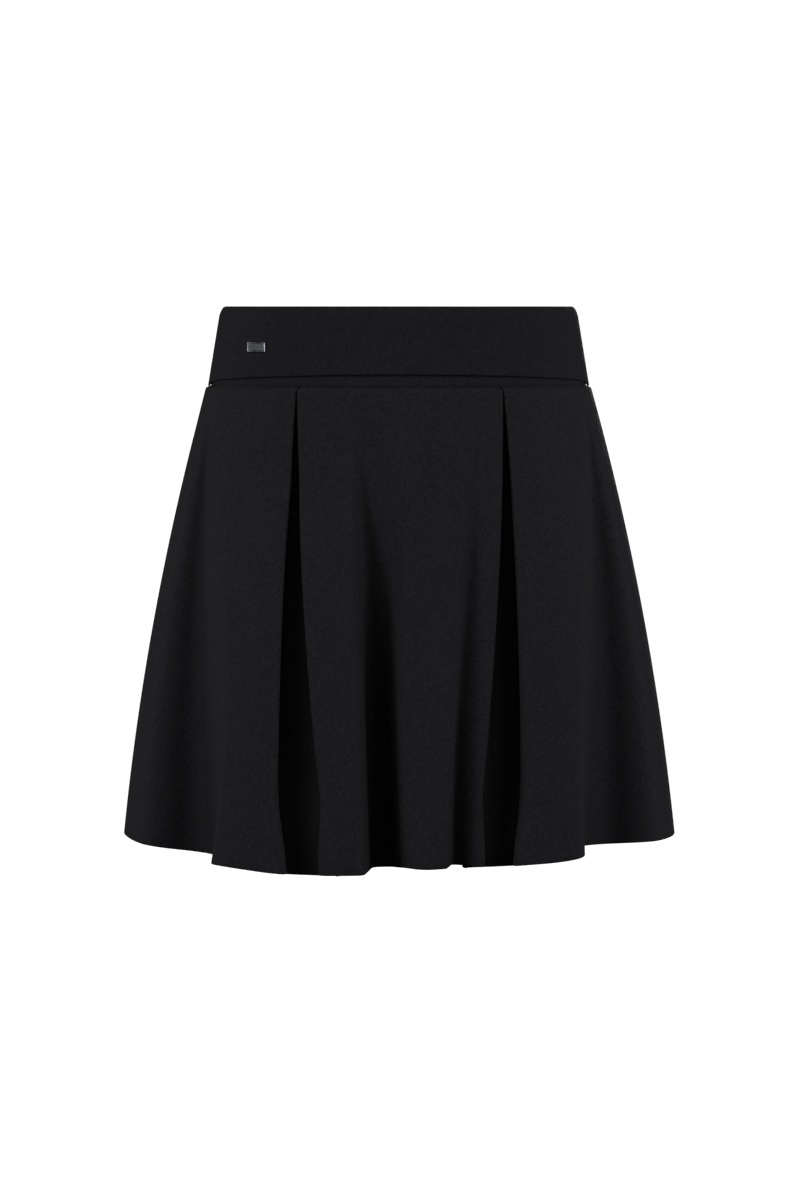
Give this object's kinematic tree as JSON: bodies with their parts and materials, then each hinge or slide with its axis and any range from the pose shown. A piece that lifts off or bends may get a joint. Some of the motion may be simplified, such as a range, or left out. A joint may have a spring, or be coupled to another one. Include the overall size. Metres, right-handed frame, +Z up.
{
  "type": "flared skirt with fold-over waistband",
  "caption": "Short flared knitted sports skirt, filled out as worn, with a wide fold-over waistband, inverted pleats in the front and a small blank metal plate on the band.",
  "frame": {"origin": "middle of the waist opening, level with the top edge of the waistband, where the wearer's waist holds the skirt", "axes": "+Z up, -Y out of the front of the skirt, +X to the right of someone who looks at the front"},
  "size_m": [0.4065, 0.2898, 0.3984],
  "materials": {
    "black_knit": "matte black double-knit jersey with a very faint sheen",
    "dark_metal": "dark satin metal with a slightly raised plain rim"
  },
  "bodies": {
    "root": {"waistband_front": "black_knit", "waistband_back": "black_knit", "skirt_front_left": "black_knit", "skirt_front_centre": "black_knit", "skirt_front_right": "black_knit", "pleat_underlay_left": "black_knit", "pleat_underlay_right": "black_knit", "skirt_back": "black_knit", "waistband_plate": "dark_metal"}
  },
  "joints": []
}
